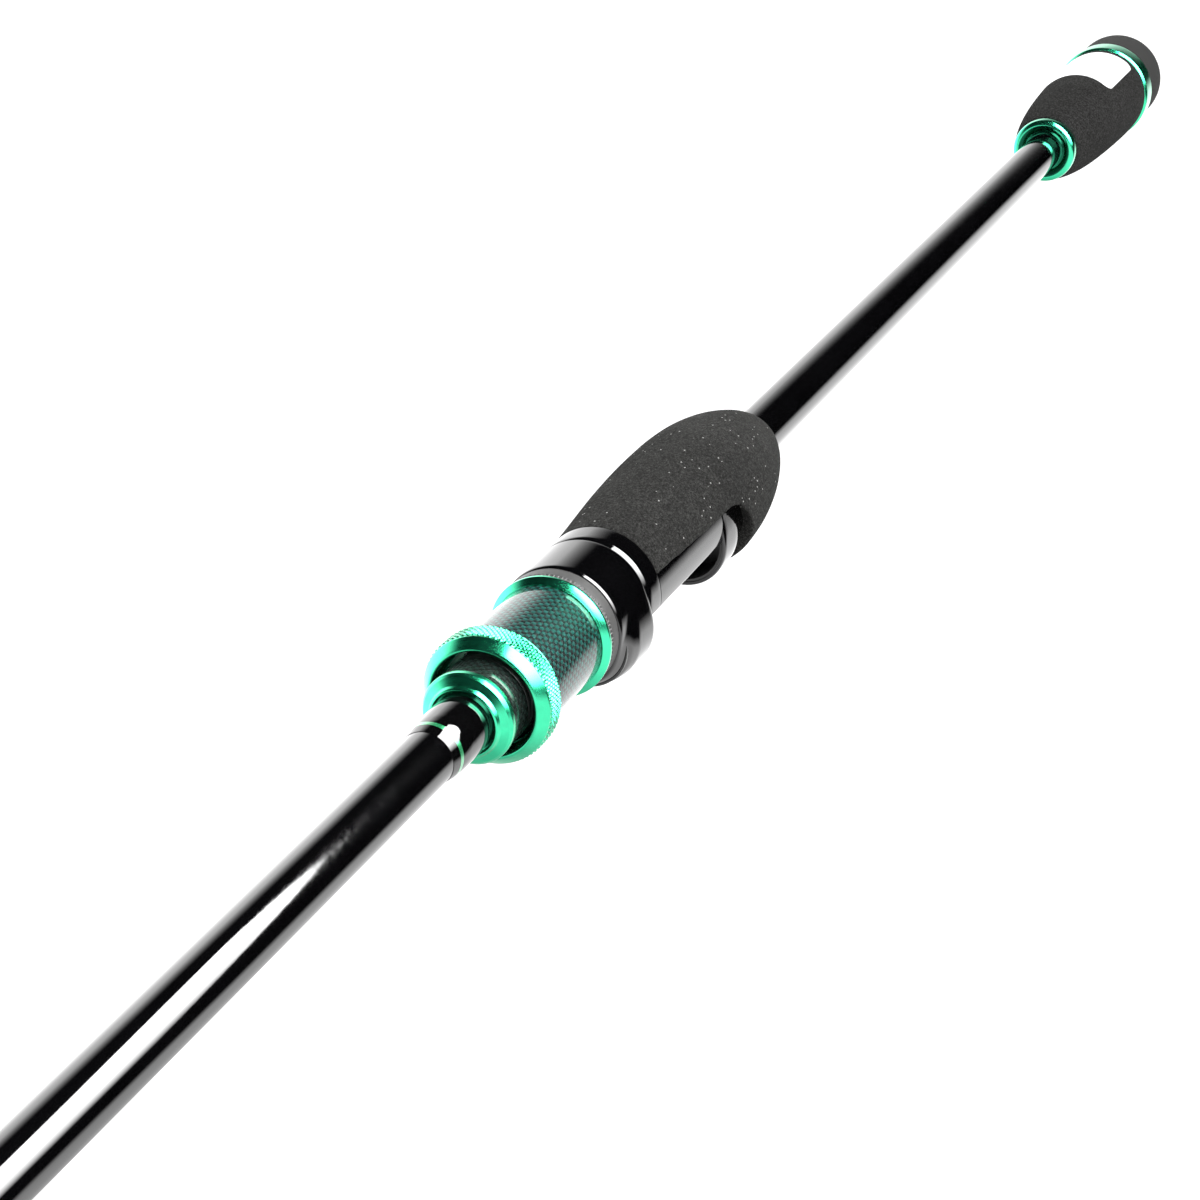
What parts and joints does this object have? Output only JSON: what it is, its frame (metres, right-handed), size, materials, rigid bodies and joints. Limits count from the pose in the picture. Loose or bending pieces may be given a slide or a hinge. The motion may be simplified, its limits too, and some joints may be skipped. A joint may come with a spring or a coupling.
{
  "type": "spinning rod",
  "caption": "Two-piece split-grip spinning rod with a screw-down reel seat, foam grips, green anodised trim and ringed line guides.",
  "frame": {"origin": "centre of the flat butt end, on the rod's axis", "axes": "+X along the rod from butt to tip, +Z away from the reel foot and guides, +Y to the left when looking to the tip with the guides down"},
  "size_m": [2.4025, 0.0294, 0.0622],
  "materials": {
    "blank": "gloss clear-coated carbon-fibre blank, black",
    "cap_rubber": "matte moulded rubber",
    "green_anodised": "bright green anodised, machined",
    "eva": "matte charcoal EVA foam, sanded",
    "plate": "pale gloss plate, blank",
    "seat": "gloss black lacquer over moulded nylon",
    "arbor": "rigid foam bushing",
    "liner": "satin black nylon",
    "carbon": "woven carbon with green threads under clear coat",
    "thrust": "satin grey nylon",
    "spring_steel": "spring steel",
    "nut_metal": "plain machined",
    "thread_wrap": "black thread under gloss epoxy",
    "green_thread": "metallic green thread under gloss epoxy",
    "guide_frame": "dark smoked stainless steel",
    "guide_ceramic": "polished dark ceramic"
  },
  "bodies": {
    "root": {"blank_butt": "blank", "butt_cap": "cap_rubber", "butt_ring": "green_anodised", "butt_grip_eva": "eva", "butt_name_plate": "plate", "butt_front_ring": "green_anodised", "fore_grip_eva": "eva", "seat_body": "seat", "seat_arbors": "arbor", "fixed_hood_liner": "liner", "carbon_tube_front": "carbon", "winding_check": "green_anodised", "wrap_front": "thread_wrap", "wrap_front_band": "green_thread", "guide_1_frame": "guide_frame", "guide_1_ring": "guide_ceramic", "guide_1_wraps": "thread_wrap"},
    "hood": {"sliding_hood": "seat", "hood_liner": "liner", "thrust_ring": "thrust", "retaining_ring": "spring_steel"},
    "nut": {"nut_core": "nut_metal", "nut_rear_ring": "green_anodised", "nut_sleeve": "carbon", "nut_front_ring": "green_anodised"},
    "tip_section": {"blank_tip": "blank", "ferrule_wrap": "thread_wrap", "ferrule_trim": "green_thread", "guide_2_frame": "guide_frame", "guide_2_ring": "guide_ceramic", "guide_2_wraps": "thread_wrap", "guide_3_frame": "guide_frame", "guide_3_ring": "guide_ceramic", "guide_3_wraps": "thread_wrap", "guide_4_frame": "guide_frame", "guide_4_ring": "guide_ceramic", "guide_4_wraps": "thread_wrap", "guide_5_frame": "guide_frame", "guide_5_ring": "guide_ceramic", "guide_5_wraps": "thread_wrap", "guide_6_frame": "guide_frame", "guide_6_ring": "guide_ceramic", "guide_6_wraps": "thread_wrap", "guide_7_frame": "guide_frame", "guide_7_ring": "guide_ceramic", "guide_7_wraps": "thread_wrap", "tip_top_frame": "guide_frame", "tip_top_ring": "guide_ceramic", "tip_top_wrap": "thread_wrap"}
  },
  "joints": [
    {"name": "hood_slide", "type": "slide", "parent": "root", "child": "hood", "axis": [1, 0, 0], "range_m": [0, 0.012]},
    {"name": "nut_spin", "type": "hinge", "parent": "hood", "child": "nut", "pos_m": [0.4562, 0, 0], "axis": [1, 0, 0], "range_deg": [0, 2880]},
    {"name": "tip_section_pull", "type": "slide", "parent": "root", "child": "tip_section", "axis": [1, 0, 0], "range_m": [0, 0.07]}
  ],
  "couplings": [
    {"joint": "nut_spin", "follows": "hood_slide", "rad_per_m": 4188.8}
  ]
}
